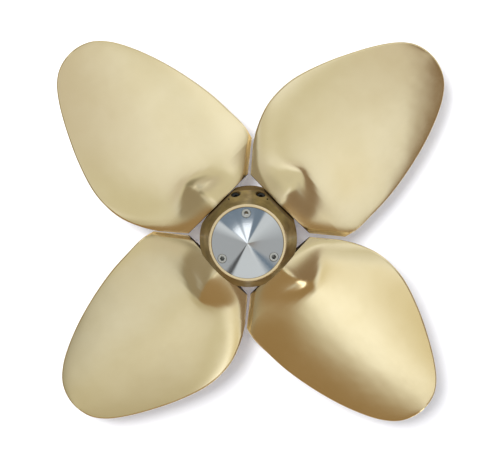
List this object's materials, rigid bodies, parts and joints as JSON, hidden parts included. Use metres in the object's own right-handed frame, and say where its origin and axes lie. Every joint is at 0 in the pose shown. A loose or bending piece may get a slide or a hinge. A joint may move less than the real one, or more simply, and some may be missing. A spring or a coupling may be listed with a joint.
{
  "type": "feathering boat propeller",
  "caption": "Feathering boat propeller: broad bronze blades that turn together on spindles in a split hub, with a shallow conical anode on its aft end.",
  "frame": {"origin": "on the shaft axis, at the forward face of the hub's boss, which the part stands on", "axes": "+Z along the shaft axis, pointing aft towards the anode; the spindles point out at 45 degrees between X and Y"},
  "size_m": [0.4266, 0.4266, 0.14],
  "materials": {
    "bronze": "hand-finished bronze, satin to polished",
    "anode": "turned, bright",
    "stainless": "machined"
  },
  "bodies": {
    "hub": {"hub_cap": "bronze", "hub_aft_half": "bronze", "hub_forward_half": "bronze", "shaft_boss": "bronze", "shaft_nut": "stainless", "anode": "anode", "anode_screw_1": "stainless", "anode_screw_2": "stainless", "anode_screw_3": "stainless", "cap_screw_1": "stainless", "cap_screw_2": "stainless", "long_bolt_1": "stainless", "long_bolt_2": "stainless", "long_bolt_3": "stainless", "long_bolt_4": "stainless", "long_bolt_5": "stainless", "long_bolt_6": "stainless", "short_bolt_1": "stainless", "short_bolt_2": "stainless", "lock_pin_1": "stainless", "lock_pin_2": "stainless"},
    "blade_1": {"blade_1": "bronze"},
    "blade_2": {"blade_2": "bronze"},
    "blade_3": {"blade_3": "bronze"},
    "blade_4": {"blade_4": "bronze"}
  },
  "joints": [
    {"name": "blade_1_pitch", "type": "hinge", "parent": "hub", "child": "blade_1", "pos_m": [0, 0, 0.06], "axis": [0.7071, 0.7071, 0], "range_deg": [0, 170]},
    {"name": "blade_2_pitch", "type": "hinge", "parent": "hub", "child": "blade_2", "pos_m": [0, 0, 0.06], "axis": [-0.7071, 0.7071, 0], "range_deg": [0, 170]},
    {"name": "blade_3_pitch", "type": "hinge", "parent": "hub", "child": "blade_3", "pos_m": [0, 0, 0.06], "axis": [-0.7071, -0.7071, 0], "range_deg": [0, 170]},
    {"name": "blade_4_pitch", "type": "hinge", "parent": "hub", "child": "blade_4", "pos_m": [0, 0, 0.06], "axis": [0.7071, -0.7071, 0], "range_deg": [0, 170]}
  ],
  "couplings": [
    {"joint": "blade_2_pitch", "follows": "blade_1_pitch", "ratio": 1},
    {"joint": "blade_3_pitch", "follows": "blade_1_pitch", "ratio": 1},
    {"joint": "blade_4_pitch", "follows": "blade_1_pitch", "ratio": 1}
  ]
}
